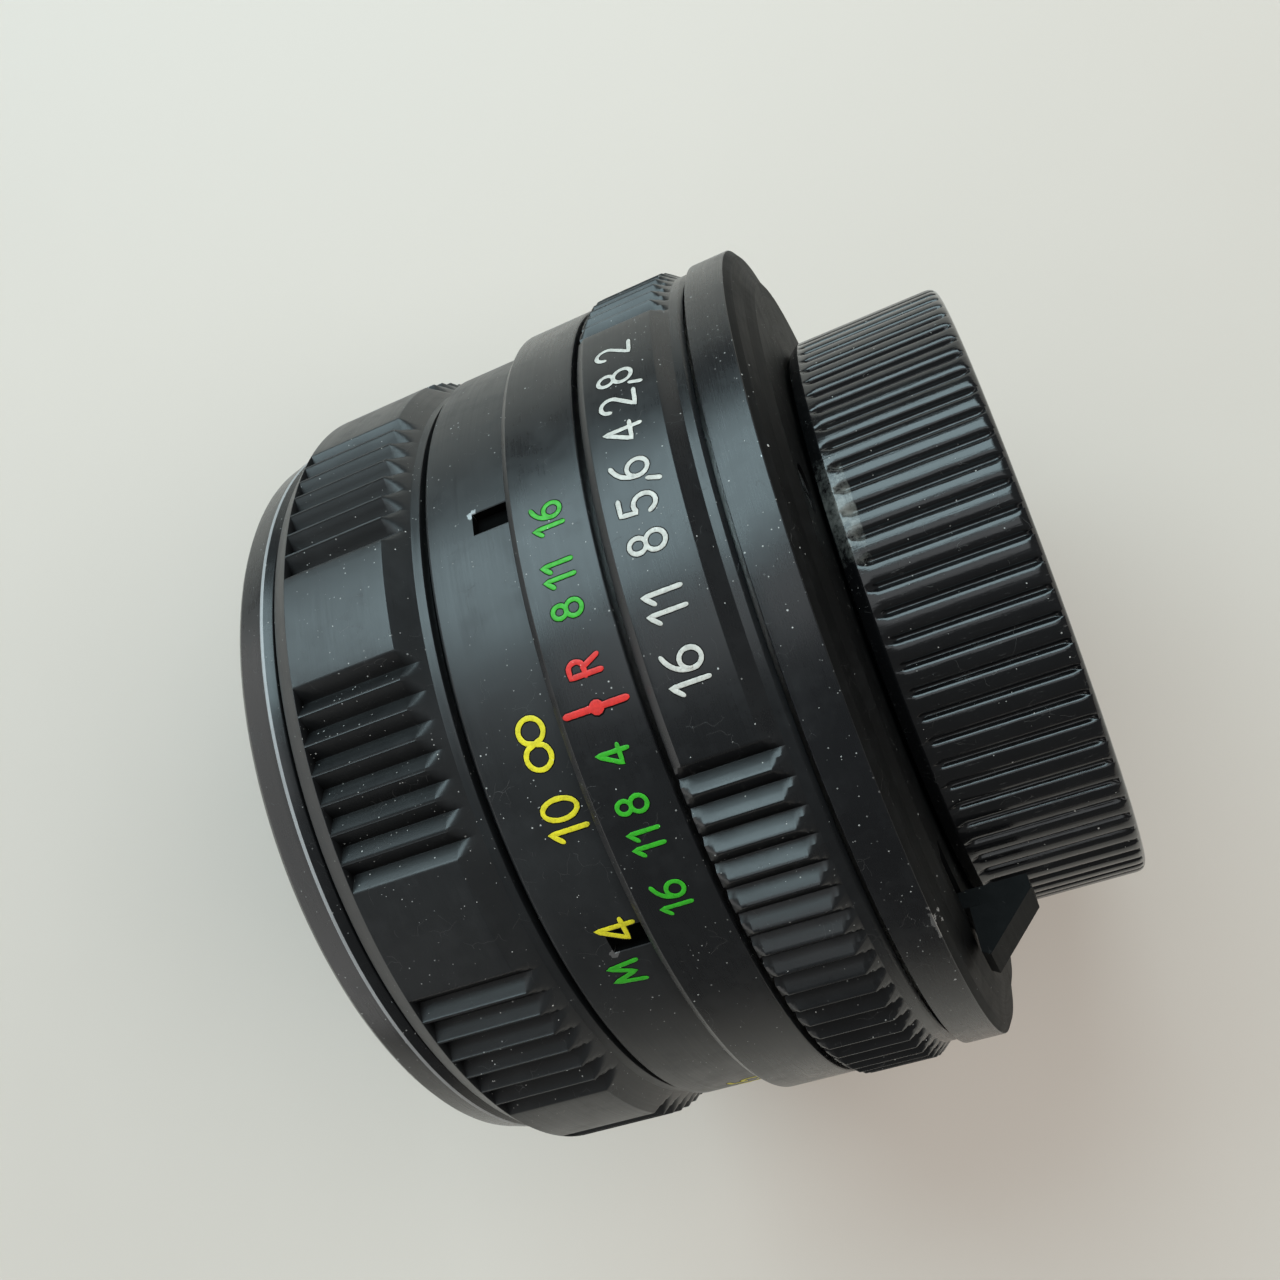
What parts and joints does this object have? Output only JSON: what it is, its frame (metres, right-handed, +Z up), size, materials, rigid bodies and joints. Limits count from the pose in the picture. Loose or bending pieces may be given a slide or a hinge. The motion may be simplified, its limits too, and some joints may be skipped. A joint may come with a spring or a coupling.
{
  "type": "prime camera lens",
  "caption": "Manual-focus prime camera lens with ridged focus and aperture rings, iris, screw mount and rear cap, lying on its side.",
  "frame": {"origin": "on the resting surface, under the centre of the lens's bounding box", "axes": "+X along the optical axis towards the camera side and the rear cap, +Z up through the index line"},
  "size_m": [0.05, 0.062, 0.062],
  "materials": {
    "black_enamel": "satin",
    "black_ring": "satin",
    "cap_plastic": "gloss",
    "turned_alloy": "turned",
    "brass": "turned",
    "steel": "polished",
    "blade_steel": "blackened",
    "matt_black": "matt",
    "coated_glass": "polished, coated"
  },
  "bodies": {
    "base": {"mount_flange": "black_ring", "fixed_tube": "turned_alloy", "dof_ring": "black_ring", "guide_key_1": "steel", "guide_key_2": "steel", "detent_ball": "steel", "pin_seat": "brass", "rear_baffle": "matt_black", "flange_screw_1": "steel", "flange_screw_2": "steel", "flange_screw_3": "steel"},
    "lens_block": {"lens_barrel": "turned_alloy", "bearing_clip": "brass", "filter_ring": "black_enamel", "name_ring": "matt_black", "front_cell": "matt_black", "rear_cell": "matt_black", "rear_retainer": "matt_black", "front_singlet": "coated_glass", "front_doublet_crown": "coated_glass", "front_doublet_flint": "coated_glass", "rear_doublet_flint": "coated_glass", "rear_doublet_crown": "coated_glass", "rear_singlet": "coated_glass", "iris_housing": "matt_black"},
    "focus_ring": {"focus_grip": "black_enamel", "scale_barrel": "black_enamel", "focus_sleeve": "turned_alloy"},
    "aperture_control": {"aperture_ring": "black_ring", "aperture_link": "brass", "link_screw": "steel"},
    "cam": {"iris_cam_ring": "brass"},
    "am_lever": {"am_lever": "black_enamel"},
    "stop_pin": {"stop_down_pin": "steel", "pin_spring": "steel"},
    "cap": {"rear_cap": "cap_plastic"},
    "blade_1": {"iris_blade_1": "blade_steel"},
    "blade_2": {"iris_blade_2": "blade_steel"},
    "blade_3": {"iris_blade_3": "blade_steel"},
    "blade_4": {"iris_blade_4": "blade_steel"},
    "blade_5": {"iris_blade_5": "blade_steel"},
    "blade_6": {"iris_blade_6": "blade_steel"},
    "blade_7": {"iris_blade_7": "blade_steel"},
    "blade_8": {"iris_blade_8": "blade_steel"}
  },
  "joints": [
    {"name": "focus_slide", "type": "slide", "parent": "base", "child": "lens_block", "axis": [-1, 0, 0], "range_m": [0, 0.0079]},
    {"name": "focus_turn", "type": "hinge", "parent": "lens_block", "child": "focus_ring", "pos_m": [-0.0145, 0, 0.031], "axis": [-1, 0, 0], "range_deg": [0, 220.46]},
    {"name": "aperture_turn", "type": "hinge", "parent": "base", "child": "aperture_control", "pos_m": [0.0055, 0, 0.031], "axis": [1, 0, 0], "range_deg": [0, 42.6]},
    {"name": "cam_turn", "type": "hinge", "parent": "lens_block", "child": "cam", "pos_m": [0.0026, 0, 0.031], "axis": [1, 0, 0], "range_deg": [0, 42.6]},
    {"name": "blade_1_pivot", "type": "hinge", "parent": "lens_block", "child": "blade_1", "pos_m": [-0.0005, 0, 0.0486], "axis": [1, 0, 0], "range_deg": [0, 33.18]},
    {"name": "blade_2_pivot", "type": "hinge", "parent": "lens_block", "child": "blade_2", "pos_m": [-0.0005, 0.01245, 0.04345], "axis": [1, 0, 0], "range_deg": [0, 33.18]},
    {"name": "blade_3_pivot", "type": "hinge", "parent": "lens_block", "child": "blade_3", "pos_m": [-0.0005, 0.0176, 0.031], "axis": [1, 0, 0], "range_deg": [0, 33.18]},
    {"name": "blade_4_pivot", "type": "hinge", "parent": "lens_block", "child": "blade_4", "pos_m": [-0.0005, 0.01245, 0.01855], "axis": [1, 0, 0], "range_deg": [0, 33.18]},
    {"name": "blade_5_pivot", "type": "hinge", "parent": "lens_block", "child": "blade_5", "pos_m": [-0.0005, 0, 0.0134], "axis": [1, 0, 0], "range_deg": [0, 33.18]},
    {"name": "blade_6_pivot", "type": "hinge", "parent": "lens_block", "child": "blade_6", "pos_m": [-0.0005, -0.01245, 0.01855], "axis": [1, 0, 0], "range_deg": [0, 33.18]},
    {"name": "blade_7_pivot", "type": "hinge", "parent": "lens_block", "child": "blade_7", "pos_m": [-0.0005, -0.0176, 0.031], "axis": [1, 0, 0], "range_deg": [0, 33.18]},
    {"name": "blade_8_pivot", "type": "hinge", "parent": "lens_block", "child": "blade_8", "pos_m": [-0.0005, -0.01245, 0.04345], "axis": [1, 0, 0], "range_deg": [0, 33.18]},
    {"name": "am_turn", "type": "hinge", "parent": "base", "child": "am_lever", "pos_m": [0.0155, 0, 0.031], "axis": [1, 0, 0], "range_deg": [-10, 10]},
    {"name": "pin_press", "type": "slide", "parent": "base", "child": "stop_pin", "axis": [-1, 0, 0], "range_m": [0, 0.0014], "stiffness_N_per_m": 300, "springref_m": -0.001, "deforming": ["pin_spring"]},
    {"name": "cap_off", "type": "slide", "parent": "base", "child": "cap", "axis": [1, 0, 0], "range_m": [0, 0.025]}
  ],
  "couplings": [
    {"joint": "focus_slide", "follows": "focus_turn", "m_per_rad": 0.0020531},
    {"joint": "cam_turn", "follows": "aperture_turn", "ratio": 1},
    {"joint": "blade_1_pivot", "follows": "aperture_turn", "ratio": 0.77885},
    {"joint": "blade_2_pivot", "follows": "aperture_turn", "ratio": 0.77885},
    {"joint": "blade_3_pivot", "follows": "aperture_turn", "ratio": 0.77885},
    {"joint": "blade_4_pivot", "follows": "aperture_turn", "ratio": 0.77885},
    {"joint": "blade_5_pivot", "follows": "aperture_turn", "ratio": 0.77885},
    {"joint": "blade_6_pivot", "follows": "aperture_turn", "ratio": 0.77885},
    {"joint": "blade_7_pivot", "follows": "aperture_turn", "ratio": 0.77885},
    {"joint": "blade_8_pivot", "follows": "aperture_turn", "ratio": 0.77885}
  ]
}
